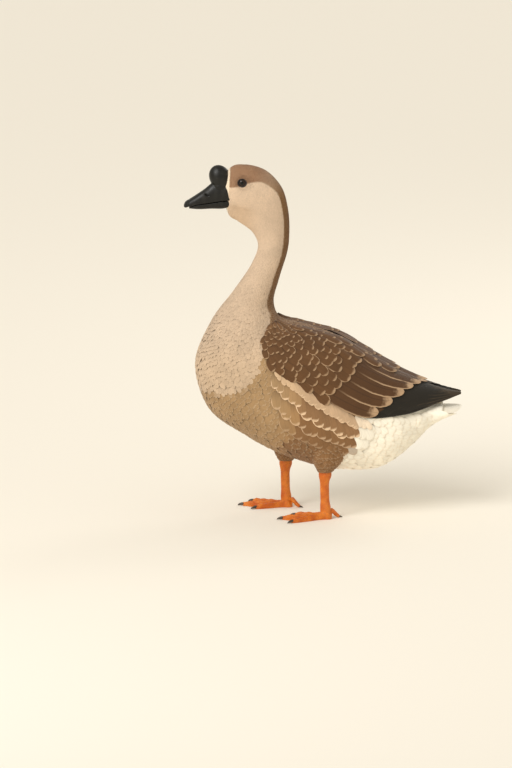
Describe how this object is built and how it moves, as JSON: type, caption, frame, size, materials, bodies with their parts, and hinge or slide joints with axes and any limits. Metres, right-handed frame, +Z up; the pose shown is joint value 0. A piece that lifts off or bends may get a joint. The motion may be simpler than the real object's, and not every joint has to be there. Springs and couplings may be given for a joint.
{
  "type": "african goose",
  "caption": "Life-size still model of a brown African gander standing upright, with black knobbed bill, dewlap, folded wings and orange webbed feet.",
  "frame": {"origin": "on the floor under the middle of the bird's box, midway between bill tip and tail tip", "axes": "+Z up; -Y the way the bird faces; +X its left side"},
  "size_m": [0.265, 0.6947, 0.8864],
  "materials": {
    "feather_pale": "soft matte plumage, pale buff with a brown cap and hind-neck stripe",
    "feather_body": "matte plumage, tan breast to brown thighs with pale feather edges",
    "feather_white": "matte white plumage with a cream shade",
    "feather_wing": "dark brown coverts with thin pale edges",
    "feather_flight": "near-black flight feathers, slight sheen",
    "bill": "satin black horn",
    "eye": "wet gloss, dark brown iris",
    "leg_skin": "scaled orange skin, satin",
    "claw": "smooth dark horn"
  },
  "bodies": {
    "root": {"head": "feather_pale", "neck_upper": "feather_pale", "neck_lower": "feather_pale", "dewlap": "feather_pale", "trunk": "feather_body", "thigh_left": "feather_body", "thigh_right": "feather_body", "tail": "feather_white", "wing_left": "feather_wing", "wing_right": "feather_wing", "primaries_left": "feather_flight", "primaries_right": "feather_flight", "bill_upper": "bill", "bill_lower": "bill", "knob": "bill", "eye_left": "eye", "eye_right": "eye", "shank_left": "leg_skin", "shank_right": "leg_skin", "foot_left": "leg_skin", "foot_right": "leg_skin", "hind_toe_left": "leg_skin", "hind_toe_right": "leg_skin", "claw_left_inner": "claw", "claw_left_middle": "claw", "claw_left_outer": "claw", "claw_right_inner": "claw", "claw_right_middle": "claw", "claw_right_outer": "claw"}
  },
  "joints": []
}
